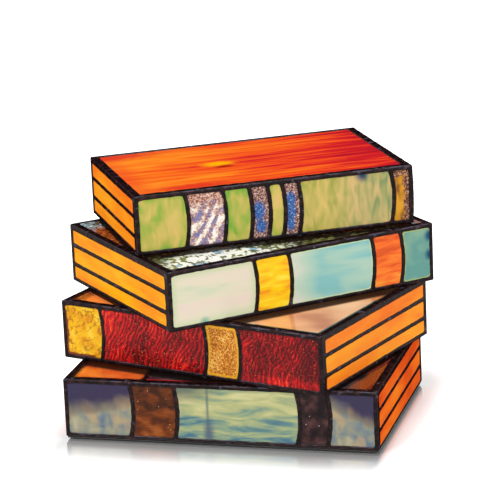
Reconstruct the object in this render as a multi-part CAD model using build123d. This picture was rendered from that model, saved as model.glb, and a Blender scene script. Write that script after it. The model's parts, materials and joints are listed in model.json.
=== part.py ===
from build123d import *
import math
import os
from dataclasses import dataclass

# Stacked books lamp: four leaded-glass boxes shaped like closed books, soldered into one
# stack that lifts off a pressed steel base with a candle-size lamp holder and bulb.
# Millimetres. +Z is up, +X runs along the bottom book's spine, the spines face -Y.
# The origin is under the middle of the bottom book, on the surface that the lamp stands on.

# Every book
book_height = 51.6
glass_thickness = 2.8
glass_recess = 0.7
seam_width = 3.2
foil_lap = 1.1
seam_bow = 2.6
edge_round = 1.4
corner_land = 0.3
panel_gap = 0.02
top_level = 3

# Solder borders seen from outside
spine_border = 3.6
spine_left_border = 3.9
spine_right_border = 1.6
spine_end_bow = 1.9
page_front_border = 7.2
page_bottom_border = 2.4
page_gap = 3.0
page_middle_strip = 14.4
cover_end_border = 7.2
cover_front_border = 8.2

# Bottom book: size, then the widths of its spine panes outside the long one
bottom_length = 272.0
bottom_depth = 183.0
bottom_left_panes = (61.0, 38.7)
bottom_right_panes = (25.8, 40.6)
bottom_cover_seam = 69.0

# Second book: size, turn, and where the lamp axis passes from its spine's left corner
second_length = 258.0
second_depth = 184.0
second_yaw = -16.5
second_axis_along = 126.5
second_axis_across = 111.1
second_left_panes = (42.0,)
second_right_panes = (33.4, 78.7)

# Third book
third_length = 256.0
third_depth = 190.0
third_yaw = 43.0
third_axis_along = 125.4
third_axis_across = 87.8
third_left_panes = (83.5, 33.0)
third_right_panes = (28.8, 30.0)

# Top book, with the light well this far behind the front border of its underside
top_length = 246.0
top_depth = 154.0
top_yaw = 31.5
top_axis_along = 115.6
top_well_setback = 1.6
top_left_panes = (46.6, 32.7, 23.2, 16.0, 13.1, 14.4)
top_right_panes = (16.9,)

# Light well that passes the light from book to book, round the lamp axis
lamp_x = 0.0
lamp_from_back = 55.5
well_radius = 40.0
well_rim = 3.6

# Pressed steel base with a raised middle, on a felt pad
felt_thickness = 1.5
felt_inset = 1.0
sheet = 1.2
tray_inset = 1.0
plateau_rise = 12.0
plateau_clearance = 0.5
plateau_corner = 6.0
plateau_top_round = 2.4

# Cord bush in the back of the raised middle, and the notch for it in the bottom book
bush_bore = 2.9
bush_wall = 1.1
bush_flange = 1.2
bush_flange_thickness = 1.6
bush_inner_length = 6.0
bush_proud = 2.0
bush_clearance = 0.1
bush_rim_gap = 0.3
bush_lead_in = 0.6
notch_clearance = 1.3

# Threaded tube, its nuts and the candle-size lamp holder
tube_radius = 4.8
tube_bore = 3.2
tube_clearance = 0.1
tube_stub = 1.5
nut_across_flats = 14.0
nut_thickness = 3.5
nut_to_holder = 3.0
tube_engagement = 6.0
holder_radius = 11.5
holder_height = 32.0
holder_floor = 8.0
holder_edge_round = 1.2
shell_bore = 6.2
shell_wall = 0.7
shell_clearance = 0.1
shell_below_mouth = 2.0
contact_width = 4.0
contact_thickness = 0.5
contact_height = 5.0
contact_reach = 4.2

# Bulb with a 12 mm screw cap
cap_radius = 5.85
cap_root = 5.45
cap_ribs = 4
cap_rib_pitch = 2.54
cap_wall = 0.35
cap_skirt = 3.0
cap_skirt_above_holder = 2.0
cap_tip_radius = 2.4
cap_tip_height = 1.6
contact_gap = 0.3
bulb_neck = 4.9
bulb_radius = 16.0
bulb_length = 78.0
bulb_belly_height = 27.0
bulb_wall = 0.8
bulb_tip_radius = 2.4
bulb_tip_drop = 1.2
bulb_tip_lean = 0.6
bulb_foot_rise = 5.0
bulb_neck_rise = 0.7
stem_radius = 2.6
stem_height = 16.0
stem_flare = 5.0
stem_gap = 0.1
support_radius = 0.4
support_spread = 4.0
support_height = 22.0
filament_radius = 0.35

lamp_y = bottom_depth / 2 - lamp_from_back
top_axis_across = cover_front_border + well_rim + well_radius + top_well_setback
came_depth = glass_thickness + 2 * glass_recess
blind_border = glass_recess + glass_thickness + foil_lap + corner_land
stack_bottom = felt_thickness + sheet
plateau_top = felt_thickness + plateau_rise
bush_outer = bush_bore + bush_wall
bush_flange_radius = bush_outer + bush_flange
bush_z = stack_bottom + bush_flange_radius + bush_rim_gap
notch_half_width = bush_flange_radius + notch_clearance
notch_height = bush_z + bush_flange_radius + notch_clearance - stack_bottom
holder_bottom = plateau_top + nut_thickness + nut_to_holder
holder_top = holder_bottom + holder_height
cap_top = holder_top + cap_skirt_above_holder
cap_bottom = holder_bottom + holder_floor + contact_height + contact_gap
bulb_foot = cap_bottom + cap_tip_height + bulb_foot_rise


@dataclass
class Book:
    """One book of the stack, by its place, its size and its pane widths."""

    name: str
    level: int
    length: float
    depth: float
    yaw: float
    axis_along: float
    axis_across: float
    left_panes: tuple
    right_panes: tuple
    cover_seams: tuple = ()

    @property
    def closed_below(self):
        return self.level > 0

    @property
    def open_above(self):
        return self.level < top_level

    @property
    def place(self):
        """Book frame to lamp frame: the book turns on the lamp axis."""
        axis = Pos(lamp_x, lamp_y, stack_bottom + self.level * book_height)
        return axis * Rot(0, 0, self.yaw) * Pos(-self.axis_along, -self.axis_across, 0)

    def spine_seams(self):
        """Seam centres along the spine at mid-height; the long pane takes what is left."""
        seams = []
        position = 0.0
        for width in self.left_panes:
            position += width
            seams.append(position)
        position = self.length - sum(self.right_panes)
        for width in self.right_panes:
            seams.append(position)
            position += width
        return seams


BOOKS = (
    Book("bottom", 0, bottom_length, bottom_depth, 0.0,
         bottom_length / 2 + lamp_x, bottom_depth / 2 + lamp_y,
         bottom_left_panes, bottom_right_panes, (bottom_cover_seam,)),
    Book("second", 1, second_length, second_depth, second_yaw,
         second_axis_along, second_axis_across, second_left_panes, second_right_panes),
    Book("third", 2, third_length, third_depth, third_yaw,
         third_axis_along, third_axis_across, third_left_panes, third_right_panes),
    Book("top", top_level, top_length, top_depth, top_yaw,
         top_axis_along, top_axis_across, top_left_panes, top_right_panes),
)


def block(low, high):
    """A box between two opposite corners."""
    size = [b - a for a, b in zip(low, high)]
    centre = [(a + b) / 2 for a, b in zip(low, high)]
    return Pos(*centre) * Box(*size)


def rod(radius, low, high, x=lamp_x, y=lamp_y):
    """An upright cylinder, on the lamp axis unless told otherwise."""
    return Pos(x, y, (low + high) / 2) * Cylinder(radius, high - low)


def bowed_slab(left, right, low, high, bow_left, bow_right, front, back):
    """A slab in the spine wall whose upright edges are arcs that bow to the right.

    left and right are the edges' places at mid-height.
    """
    middle = (low + high) / 2
    chord_left = left - bow_left
    chord_right = right - bow_right
    edges = [
        Line((chord_left, low), (chord_right, low)),
        ThreePointArc((chord_right, low), (right, middle), (chord_right, high)),
        Line((chord_right, high), (chord_left, high)),
        ThreePointArc((chord_left, high), (left, middle), (chord_left, low)),
    ]
    outline = make_face(edges)
    return Pos(0, back, 0) * extrude(Plane.XZ * outline, amount=back - front)


def page_rows():
    """Low and high edges of the three page strips, as seen between the solder lines."""
    room = book_height - blind_border - page_bottom_border - 2 * page_gap
    outer = (room - page_middle_strip) / 2
    rows = []
    low = page_bottom_border
    for height in (outer, page_middle_strip, outer):
        rows.append((low, low + height))
        low += height + page_gap
    return rows


def spine_panes(book):
    """Window cutters and glass panes of the spine, left to right."""
    bounds = [(spine_left_border, spine_end_bow)]
    for seam in book.spine_seams():
        bounds.append((seam - seam_width / 2, seam_bow))
        bounds.append((seam + seam_width / 2, seam_bow))
    bounds.append((book.length - spine_right_border, spine_end_bow))
    low = spine_border
    high = book_height - spine_border
    windows = []
    panes = []
    for (left, bow_left), (right, bow_right) in zip(bounds[0::2], bounds[1::2]):
        windows.append(bowed_slab(left, right, low, high, bow_left, bow_right, 0, came_depth))
        panes.append(
            bowed_slab(left - foil_lap, right + foil_lap, low - foil_lap, high + foil_lap,
                       bow_left, bow_right, glass_recess, glass_recess + glass_thickness))
    return windows, panes


def flat_pane(low, high, axis, outer, inward):
    """Window cutter and glass of a rectangular pane.

    low and high are the window's corners in the wall's own plane, axis is the direction
    through the wall, outer is its outer plane and inward is +1 or -1 along that axis.
    """
    def slab(grow, near, far):
        first = [v - grow for v in low]
        last = [v + grow for v in high]
        ends = sorted((outer + inward * near, outer + inward * far))
        first.insert(axis, ends[0])
        last.insert(axis, ends[1])
        return block(first, last)

    window = slab(0, 0, came_depth)
    glass = slab(foil_lap, glass_recess, glass_recess + glass_thickness)
    return window, glass


def page_strips(book):
    """Windows and glass of the page edges at the left and right ends and at the back."""
    sides = {"left": [], "right": [], "back": []}
    end_front = page_front_border
    end_back = book.depth - blind_border
    back_left = blind_border
    back_right = book.length - blind_border
    for row, (low, high) in enumerate(page_rows()):
        end_low, end_high = (end_front, low), (end_back, high)
        sides["left"].append(flat_pane(end_low, end_high, 0, 0, 1))
        sides["right"].append(flat_pane(end_low, end_high, 0, book.length, -1))
        spans = [(back_left, back_right)]
        if row == 0 and not book.closed_below:
            notch = notch_half_width + seam_width
            spans = [(back_left, book.axis_along - notch), (book.axis_along + notch, back_right)]
        for left, right in spans:
            sides["back"].append(flat_pane((left, low), (right, high), 1, book.depth, -1))
    return sides


def well_cylinder(book, radius, low, high):
    return rod(radius, low, high, book.axis_along, book.axis_across)


def board_panes(book, outer, inward, seams, has_well):
    """Windows, glass and well rim of a cover or of an underside."""
    edges = [cover_end_border]
    for seam in seams:
        edges += [seam - seam_width / 2, seam + seam_width / 2]
    edges.append(book.length - cover_end_border)
    windows = []
    panes = []
    for left, right in zip(edges[0::2], edges[1::2]):
        low = (left, cover_front_border)
        high = (right, book.depth - blind_border)
        window, glass = flat_pane(low, high, 2, outer, inward)
        windows.append(window)
        panes.append(glass)
    if not has_well:
        return windows, panes, None
    plane_low, plane_high = sorted((outer, outer + inward * came_depth))
    hole = well_cylinder(book, well_radius + well_rim - foil_lap, plane_low, plane_high)
    panes = [pane - hole for pane in panes]
    rim = well_cylinder(book, well_radius + well_rim, plane_low, plane_high)
    rim -= well_cylinder(book, well_radius, plane_low, plane_high)
    return windows, panes, rim


def cord_notch(book):
    """The notch at the foot of the back wall that lets the stack drop over the cord bush."""
    low = (book.axis_along - notch_half_width, book.depth - came_depth, 0)
    high = (book.axis_along + notch_half_width, book.depth, notch_height)
    return block(low, high)


def panel_slabs(book):
    """The flat panels that a book is leaded as: four walls, its cover and its underside."""
    length, depth = book.length, book.depth
    front, back = came_depth, depth - came_depth
    left, right = came_depth, length - came_depth
    top = book_height - came_depth
    near, far = front + panel_gap, back - panel_gap
    slabs = [
        block((0, 0, 0), (length, front, book_height)),
        block((0, back, 0), (length, depth, book_height)),
        block((0, near, 0), (left, far, book_height)),
        block((right, near, 0), (length, far, book_height)),
        block((left + panel_gap, near, top), (right - panel_gap, far, book_height)),
    ]
    if book.closed_below:
        slabs.append(block((left + panel_gap, near, 0), (right - panel_gap, far, came_depth)))
    return slabs


def build_book(book):
    """All pieces of one book: its solder, as flat panels and well rims, and its glass."""
    pieces = {}
    cutters = []
    rims = []

    windows, panes = spine_panes(book)
    cutters += windows
    for number, pane in enumerate(panes, start=1):
        pieces[f"{book.name}_spine_pane_{number}"] = [pane]

    for side, pairs in page_strips(book).items():
        cutters += [window for window, _ in pairs]
        pieces[f"{book.name}_page_strips_{side}"] = [glass for _, glass in pairs]

    windows, panes, rim = board_panes(book, book_height, -1, book.cover_seams, book.open_above)
    cutters += windows
    rims.append(rim)
    for number, pane in enumerate(panes, start=1):
        suffix = f"_{number}" if len(panes) > 1 else ""
        pieces[f"{book.name}_cover_pane{suffix}"] = [pane]

    if book.closed_below:
        windows, panes, rim = board_panes(book, 0, 1, (), True)
        cutters += windows
        rims.append(rim)
        pieces[f"{book.name}_underside_pane"] = panes
    else:
        cutters.append(cord_notch(book))

    outer = fillet(block((0, 0, 0), (book.length, book.depth, book_height)).edges(), edge_round)
    inside_low = came_depth if book.closed_below else 0
    inside = block((came_depth, came_depth, inside_low),
                   (book.length - came_depth, book.depth - came_depth, book_height - came_depth))
    glass = [solid for solids in pieces.values() for solid in solids]
    network = outer - inside
    network -= cutters
    network -= glass
    solder = []
    for slab in panel_slabs(book):
        solder += list((network & slab).solids())
    for rim in rims:
        if rim is not None:
            solder += list((rim - glass).solids())
    pieces[f"{book.name}_solder"] = solder
    return {name: [book.place * solid for solid in solids] for name, solids in pieces.items()}


def felt_pad():
    inset = tray_inset + felt_inset
    half_x = bottom_length / 2 - inset
    half_y = bottom_depth / 2 - inset
    pad = block((-half_x, -half_y, 0), (half_x, half_y, felt_thickness))
    return fillet(pad.edges().filter_by(Axis.Z), plateau_corner)


def plateau_half_size():
    reach = came_depth + plateau_clearance
    return bottom_length / 2 - reach, bottom_depth / 2 - reach


def base_tray():
    """Rim that the stack stands on, and a raised middle that locates it."""
    half_x = bottom_length / 2 - tray_inset
    half_y = bottom_depth / 2 - tray_inset
    rim = block((-half_x, -half_y, felt_thickness), (half_x, half_y, stack_bottom))
    rim = fillet(rim.edges().filter_by(Axis.Z), edge_round)

    out_x, out_y = plateau_half_size()
    raised = block((-out_x, -out_y, felt_thickness), (out_x, out_y, plateau_top))
    raised = fillet(raised.edges().filter_by(Axis.Z), plateau_corner)
    raised = fillet(raised.faces().sort_by(Axis.Z)[-1].edges(), plateau_top_round)

    in_x, in_y = out_x - sheet, out_y - sheet
    under = block((-in_x, -in_y, felt_thickness), (in_x, in_y, plateau_top - sheet))
    under = fillet(under.edges().filter_by(Axis.Z), plateau_corner - sheet)
    under = fillet(under.faces().sort_by(Axis.Z)[-1].edges(), plateau_top_round - sheet)

    tube_hole = rod(tube_radius + tube_clearance, felt_thickness, plateau_top)
    bush_hole = bush_rod(bush_outer + bush_clearance, in_y - sheet, out_y + sheet)
    return rim + raised - under - tube_hole - bush_hole


def bush_rod(radius, front, back):
    """A cylinder along Y on the cord bush's axis."""
    return Pos(lamp_x, (front + back) / 2, bush_z) * Rot(90, 0, 0) * Cylinder(radius, back - front)


def cord_bush():
    wall_back = plateau_half_size()[1]
    front = wall_back - sheet - bush_inner_length
    back = bottom_depth / 2 + bush_proud
    body = bush_rod(bush_outer, front, back)
    body = chamfer(body.edges().group_by(Axis.Y)[-1], bush_lead_in)
    body += bush_rod(bush_flange_radius, wall_back, wall_back + bush_flange_thickness)
    return body - bush_rod(bush_bore, front, back)


def threaded_tube():
    low = plateau_top - sheet - nut_thickness - tube_stub
    high = holder_bottom + tube_engagement
    return rod(tube_radius, low, high) - rod(tube_bore, low, high)


def tube_nut(low):
    flats = RegularPolygon(nut_across_flats / 2, 6, major_radius=False)
    nut = Pos(lamp_x, lamp_y, low) * extrude(flats, amount=nut_thickness)
    return nut - rod(tube_radius + tube_clearance, low, low + nut_thickness)


def lamp_holder_body():
    floor = holder_bottom + holder_floor
    body = rod(holder_radius, holder_bottom, holder_top)
    body = fillet(body.edges().filter_by(GeomType.CIRCLE), holder_edge_round)
    body -= rod(shell_bore + shell_wall + shell_clearance, floor, holder_top)
    body -= rod(tube_radius + tube_clearance, holder_bottom, holder_bottom + tube_engagement)
    return body - rod(tube_bore, holder_bottom, floor)


def holder_screw_shell():
    low = holder_bottom + holder_floor
    high = holder_top - shell_below_mouth
    return rod(shell_bore + shell_wall, low, high) - rod(shell_bore, low, high)


def holder_centre_contact():
    """A bent brass leaf: a foot on the holder's floor and a tongue up to the bulb."""
    low = holder_bottom + holder_floor
    high = low + contact_height
    side = lamp_y - contact_reach
    half = contact_width / 2
    left, right = lamp_x - half, lamp_x + half
    foot = block((left, side, low), (right, lamp_y + contact_reach, low + contact_thickness))
    riser = block((left, side, low), (right, side + contact_thickness, high))
    tongue = block((left, side, high - contact_thickness), (right, lamp_y + half, high))
    return foot + riser + tongue


def turned(points):
    """A solid of revolution round the lamp axis from a closed run of (radius, height)."""
    profile = make_face(Polyline(*points, close=True))
    return Pos(lamp_x, lamp_y, 0) * revolve(Plane.XZ * profile, Axis.Z)


def bulb_cap():
    """Screw cap with rolled ribs, a skirt above the holder and a contact tip below."""
    body_low = cap_bottom + cap_tip_height
    outline = [(0, cap_bottom), (cap_tip_radius, cap_bottom), (cap_tip_radius, body_low)]
    outline.append((cap_root, body_low))
    rib_start = body_low + cap_rib_pitch / 2
    for rib in range(cap_ribs):
        root = rib_start + rib * cap_rib_pitch
        outline += [(cap_root, root), (cap_radius, root + cap_rib_pitch / 2)]
    outline.append((cap_root, rib_start + cap_ribs * cap_rib_pitch))
    outline += [(cap_root, cap_top - cap_skirt), (cap_radius, cap_top - cap_skirt / 2)]
    inner = cap_root - cap_wall
    outline += [(cap_radius, cap_top), (inner, cap_top)]
    outline += [(inner, body_low + cap_wall), (0, body_low + cap_wall)]
    return turned(outline)


def bulb_profile(shrink):
    """Half the bulb's outline: a straight neck, a curve out to the belly and one in to the tip."""
    radius = bulb_neck - shrink
    neck = (radius, cap_top + bulb_neck_rise)
    belly = (bulb_radius - shrink, cap_top + bulb_belly_height)
    tip = cap_top + bulb_length - shrink
    shoulder = (bulb_tip_radius, tip - bulb_tip_drop)
    lower = Spline([neck, belly], tangents=[(0, 1), (0, 1)])
    upper = Spline([belly, shoulder], tangents=[(0, 1), (-bulb_tip_lean, 1)])
    return [Line((0, bulb_foot), (radius, bulb_foot)), Line((radius, bulb_foot), neck), lower,
            upper, Line(shoulder, (0, tip)), Line((0, tip), (0, bulb_foot))]


def bulb_glass():
    outer = revolve(Plane.XZ * make_face(bulb_profile(0)), Axis.Z)
    inner = revolve(Plane.XZ * make_face(bulb_profile(bulb_wall)), Axis.Z)
    return Pos(lamp_x, lamp_y, 0) * (outer - inner)


def bulb_filament():
    """Glass stem in the neck, two supports and the filament between them."""
    stem_top = bulb_foot + stem_height
    top = stem_top + support_height
    flare_radius = bulb_neck - bulb_wall - stem_gap
    flare_middle = bulb_foot + stem_flare / 2
    mount = rod(stem_radius, bulb_foot, stem_top)
    mount += Pos(lamp_x, lamp_y, flare_middle) * Cone(flare_radius, stem_radius, stem_flare)
    for side in (-1, 1):
        foot = Vector(lamp_x + side * stem_radius / 2, lamp_y, stem_top - support_radius)
        head = Vector(lamp_x + side * support_spread, lamp_y, top)
        run = Line(foot, head)
        section = Plane(origin=foot, z_dir=run % 0) * Circle(support_radius)
        mount += sweep(section, run)
    span = 2 * (support_spread + support_radius)
    wire = Pos(lamp_x, lamp_y, top) * Rot(0, 90, 0) * Cylinder(filament_radius, span)
    return mount + wire


def build_base():
    """Everything that stays on the table when the stack is lifted off."""
    under_nut = plateau_top - sheet - nut_thickness
    return {
        "felt_pad": [felt_pad()],
        "base_tray": [base_tray()],
        "cord_bush": [cord_bush()],
        "threaded_tube": [threaded_tube()],
        "tube_nuts": [tube_nut(under_nut), tube_nut(plateau_top)],
        "lamp_holder_body": [lamp_holder_body()],
        "holder_screw_shell": [holder_screw_shell()],
        "holder_centre_contact": [holder_centre_contact()],
        "bulb_cap": [bulb_cap()],
        "bulb_glass": [bulb_glass()],
        "bulb_filament": [bulb_filament()],
    }


def main():
    os.makedirs("parts", exist_ok=True)
    nodes = build_base()
    for book in BOOKS:
        nodes.update(build_book(book))
    for name, solids in nodes.items():
        shape = solids[0] if len(solids) == 1 else Compound(solids)
        export_step(shape, f"parts/{name}.step")


main()
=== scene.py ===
import json
import math

import bpy
import numpy as np
from mathutils import Matrix, Vector, noise


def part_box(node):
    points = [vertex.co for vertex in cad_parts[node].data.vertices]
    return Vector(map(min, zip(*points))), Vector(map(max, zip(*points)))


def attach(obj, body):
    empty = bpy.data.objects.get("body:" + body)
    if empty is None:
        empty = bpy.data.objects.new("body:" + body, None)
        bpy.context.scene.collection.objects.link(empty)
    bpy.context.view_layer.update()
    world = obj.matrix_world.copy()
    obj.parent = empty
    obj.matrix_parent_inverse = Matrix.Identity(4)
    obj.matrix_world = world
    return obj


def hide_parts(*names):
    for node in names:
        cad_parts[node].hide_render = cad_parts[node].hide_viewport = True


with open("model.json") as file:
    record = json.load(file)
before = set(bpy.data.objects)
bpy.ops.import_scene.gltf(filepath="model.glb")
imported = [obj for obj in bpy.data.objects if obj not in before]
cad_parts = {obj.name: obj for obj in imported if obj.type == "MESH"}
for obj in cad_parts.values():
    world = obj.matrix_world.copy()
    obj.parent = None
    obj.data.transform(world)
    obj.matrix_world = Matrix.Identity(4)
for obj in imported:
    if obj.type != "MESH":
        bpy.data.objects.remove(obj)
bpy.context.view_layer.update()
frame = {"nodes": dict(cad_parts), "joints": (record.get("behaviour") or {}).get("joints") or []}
# Without a seed of its own, noise_vector draws its offsets from the clock
noise_seed = 1
noise.seed_set(noise_seed)

# Stacked books lamp: four leaded-glass books on a steel base. Metres, in the frame's own axes.
# Every book has a frame of its own: x along the spine from its left corner, y from the spine
# to the back, z up from the book's foot. All its pieces are made in that frame.

# Length, depth, turn in degrees, and where the lamp axis passes, from the spine's left corner
BOOK_VALUES = {
    "bottom": (0.272, 0.183, 0.0, 0.136, 0.1275),
    "second": (0.258, 0.184, -16.5, 0.1265, 0.1111),
    "third": (0.256, 0.190, 43.0, 0.1254, 0.0878),
    "top": (0.246, 0.154, 31.5, 0.1156, 0.0534),
}
foil_lap = 0.0011
came_depth = 0.0042
well_radius = 0.040
well_rim = 0.0036
notch_height = 0.0120
notch_half_width = 0.0065

# Glass: how far a seam's bow may reach, the share of its height that shows it, and the angle
# in degrees above which an edge is sharp
bow_reach = 0.004
bow_share = 0.8
sharp_angle = 60

# Solder beads
seam_power = 2.4
border_power = 4.0
seam_share = 0.835
border_share = 0.9465
narrow_border = 0.0024
seam_flare = 0.45
seam_gain = 0.00022
bead_step = 0.004
bead_sides = 14
bead_wobble = 0.00016
width_wobble = 0.07
sink_wobble = 0.0002
wobbles_per_metre = 150
bead_gain = 0.00034
voxel = 0.00070
smoothing_rounds = 3
solder_faces_kept = 0.4
corner_blob = 0.0027
blob_rings = 8
blob_sides = 12
blob_inset = 0.86
well_steps = 64
edge_round = 0.0014
lump_height = 0.00026
lumps_per_metre = 210
fine_height = 0.00011
fines_per_metre = 620
skin_drop = 0.00005
top_spine_bulge = 0.0013
bulge_length = 0.005
bulge_depth = 0.012

# Each wall: the axes that its panes run along, the axis through it, and which end is outside.
# In INWARD_WALLS a face drawn along the first axis and then the second looks inwards.
WALLS = {
    "spine": (0, 2, 1, -1),
    "back": (0, 2, 1, 1),
    "left": (1, 2, 0, -1),
    "right": (1, 2, 0, 1),
    "cover": (0, 1, 2, 1),
    "underside": (0, 1, 2, -1),
}
INWARD_WALLS = ("back", "left", "underside")


def rgb(code):
    """A display colour in six hex digits, as the linear colour that a shader takes."""
    linear = []
    for start in (0, 2, 4):
        share = int(code[start:start + 2], 16) / 255
        linear.append(share / 12.92 if share <= 0.04045 else ((share + 0.055) / 1.055) ** 2.4)
    return (*linear, 1.0)


def lamp_axis():
    for joint in frame["joints"]:
        if joint["name"] == "bulb_turn":
            return joint["pos_m"]
    raise RuntimeError("the frame has no bulb_turn joint")


class Pane:
    """Outline of one pane in its wall: low and high along both axes, and the bow of its sides."""

    def __init__(self, low, high, bows=(0.0, 0.0)):
        self.low, self.high, self.bows = low, high, bows

    def side(self, which, height):
        """Place of the left (0) or right (1) edge at a height; low and high are the chords."""
        middle = (self.low[1] + self.high[1]) / 2
        half = (self.high[1] - self.low[1]) / 2
        t = (height - middle) / half
        chord = (self.low, self.high)[which][0]
        return chord + self.bows[which] * (1 - t * t)

    def window(self):
        """The part that shows between the solder lines."""
        low = (self.low[0] + foil_lap, self.low[1] + foil_lap)
        high = (self.high[0] - foil_lap, self.high[1] - foil_lap)
        return Pane(low, high, self.bows)


class Book:
    def __init__(self, name):
        self.name = name
        self.length, self.depth, yaw, self.along, self.across = BOOK_VALUES[name]
        low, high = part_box(f"{name}_solder")
        self.height = high.z - low.z
        axis = lamp_axis()
        self.place = (Matrix.Translation((axis[0], axis[1], low.z))
                      @ Matrix.Rotation(math.radians(yaw), 4, "Z")
                      @ Matrix.Translation((-self.along, -self.across, 0)))
        self.size = (self.length, self.depth, self.height)
        self.walls = {wall: self.find_panes(wall) for wall in WALLS}

    def points(self, node):
        """A CAD node's vertices in the book's frame."""
        inverse = np.array(self.place.inverted())
        mesh = frame["nodes"][node].data
        found = np.empty(len(mesh.vertices) * 3)
        mesh.vertices.foreach_get("co", found)
        return found.reshape(-1, 3) @ inverse[:3, :3].T + inverse[:3, 3]

    def nodes(self, wall):
        """Names of the CAD nodes that hold a wall's glass, in order."""
        start = {"spine": "spine_pane", "cover": "cover_pane", "underside": "underside_pane"}
        key = f"{self.name}_{start.get(wall, 'page_strips_' + wall)}"
        return sorted(name for name in frame["nodes"] if name.startswith(key))

    def find_panes(self, wall):
        """(node, pane) for each piece of glass in a wall."""
        found = []
        for node in self.nodes(wall):
            across, up = WALLS[wall][:2]
            spots = self.points(node)[:, (across, up)]
            if wall == "spine":
                found.append((node, bowed_outline(spots)))
            elif wall in ("cover", "underside"):
                found.append((node, Pane(spots.min(0), spots.max(0))))
            else:
                found += [(node, pane) for pane in strip_outlines(spots)]
        return found


def bowed_outline(spots):
    """Outline of a pane whose upright edges are arcs."""
    low, high = spots[:, 1].min(), spots[:, 1].max()
    foot = spots[spots[:, 1] < low + 1e-5]
    chords = foot[:, 0].min(), foot[:, 0].max()
    t = (spots[:, 1] - (low + high) / 2) / ((high - low) / 2)
    bows = []
    for chord in chords:
        near = (abs(spots[:, 0] - chord) < bow_reach) & (abs(t) < bow_share)
        bow = np.median((spots[near, 0] - chord) / (1 - t[near] ** 2)) if near.any() else 0
        bows.append(float(bow))
    return Pane((chords[0], low), (chords[1], high), tuple(bows))


def runs(values):
    """Sorted distinct values, taken in pairs as (low, high)."""
    distinct = sorted(set(np.round(values, 5)))
    return list(zip(distinct[0::2], distinct[1::2]))


def strip_outlines(spots):
    panes = []
    for low, high in runs(spots[:, 1]):
        row = spots[(spots[:, 1] > low - 1e-4) & (spots[:, 1] < high + 1e-4)]
        panes += [Pane((left, low), (right, high)) for left, right in runs(row[:, 0])]
    return panes


# Geometry of the glass

def wall_point(book, wall, across, up, depth):
    """A point of a wall in the book's frame; depth is measured inwards from the outer plane."""
    first, second, through, sign = WALLS[wall]
    point = [0.0, 0.0, 0.0]
    point[first] = across
    point[second] = up
    point[through] = depth if sign < 0 else book.size[through] - depth
    return point


def glass_slab(book, wall, pane, front, back, steps, relief, hole=None):
    """Vertices, faces, rim distances, reliefs and the number of front faces of one glass slab.

    front and back are depths from the wall's outer plane. relief(across, up) gives how far the
    outer face stands proud. hole is (across, up, radius) of a round hole through it.
    """
    columns, rows = (max(2, math.ceil((pane.high[k] - pane.low[k]) / steps[k])) for k in (0, 1))
    places, rims = [], []
    for row in range(rows + 1):
        up = pane.low[1] + (pane.high[1] - pane.low[1]) * row / rows
        left, right = pane.side(0, up), pane.side(1, up)
        for column in range(columns + 1):
            across = left + (right - left) * column / columns
            places.append([across, up])
            edge = min(across - left, right - across, up - pane.low[1], pane.high[1] - up)
            rims.append(edge - foil_lap)
    quads, cut = [], set()
    for row in range(rows):
        for column in range(columns):
            corner = row * (columns + 1) + column
            quad = (corner, corner + 1, corner + columns + 2, corner + columns + 1)
            middle = [sum(places[v][axis] for v in quad) / 4 for axis in (0, 1)]
            if hole and math.dist(middle, hole[:2]) < hole[2]:
                cut.update(quad)
            else:
                quads.append(quad)
    kept = {vertex for quad in quads for vertex in quad}
    for vertex in cut & kept:
        offset = Vector(places[vertex]) - Vector(hole[:2])
        places[vertex] = list(Vector(hole[:2]) + offset.normalized() * hole[2])
    order = {vertex: index for index, vertex in enumerate(sorted(kept))}
    vertices, reliefs = [], []
    for vertex in order:
        across, up = places[vertex]
        reliefs.append(relief(across, up))
        vertices.append(wall_point(book, wall, across, up, front - reliefs[-1]))
    faces = [tuple(order[v] for v in quad) for quad in quads]
    fronts = len(faces)
    open_edges = {}
    for face in faces:
        for edge in zip(face, face[1:] + face[:1]):
            if not open_edges.pop(edge[::-1], False):
                open_edges[edge] = True
    count = len(vertices)
    for vertex in order:
        vertices.append(wall_point(book, wall, *places[vertex], back))
    faces += [tuple(v + count for v in reversed(face)) for face in faces[:fronts]]
    faces += [(other, one, one + count, other + count) for one, other in open_edges]
    return vertices, faces, [rims[v] for v in order] * 2, reliefs * 2, fronts


def linked(name, data):
    """A new object in the scene."""
    thing = bpy.data.objects.new(name, data)
    bpy.context.scene.collection.objects.link(thing)
    return thing


def add_object(name, book, vertices, faces, material, smooth_until=None):
    """A mesh object in the book's frame. The first smooth_until faces are shaded smooth."""
    mesh = bpy.data.meshes.new(name)
    mesh.from_pydata(vertices, [], faces)
    piece = linked(name, mesh)
    piece.matrix_world = book.place if book else Matrix.Identity(4)
    smooth = [smooth_until is None or index < smooth_until for index in range(len(faces))]
    mesh.polygons.foreach_set("use_smooth", smooth)
    mesh.materials.append(material)
    return piece


def store(mesh, name, values):
    """Keeps one value for each vertex on the mesh, for the material to read."""
    attribute = mesh.attributes.new(name, "FLOAT", "POINT")
    attribute.data.foreach_set("value", np.array(values, np.float32))


def glass_object(name, book, wall, slabs, material):
    """One glass piece from one or more slabs."""
    vertices, front_faces, other_faces, rims, reliefs = [], [], [], [], []
    for slab_vertices, slab_faces, slab_rims, slab_reliefs, fronts in slabs:
        shift = len(vertices)
        vertices += slab_vertices
        rims += slab_rims
        reliefs += slab_reliefs
        moved = [tuple(v + shift for v in face) for face in slab_faces]
        front_faces += moved[:fronts]
        other_faces += moved[fronts:]
    piece = add_object(name, book, vertices, front_faces + other_faces, material, len(front_faces))
    if wall in INWARD_WALLS:
        piece.data.flip_normals()
    piece.data.set_sharp_from_angle(angle=math.radians(sharp_angle))
    store(piece.data, "rim", rims)
    store(piece.data, "relief", reliefs)
    return piece


# Surface relief of the glass types, each a function of the place on the pane

def swell(across, up, seed, often, often_up):
    """Noise over a pane, with so many features to a metre along it and up it."""
    return noise.noise(Vector((across * often, up * often_up, seed)))


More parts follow.
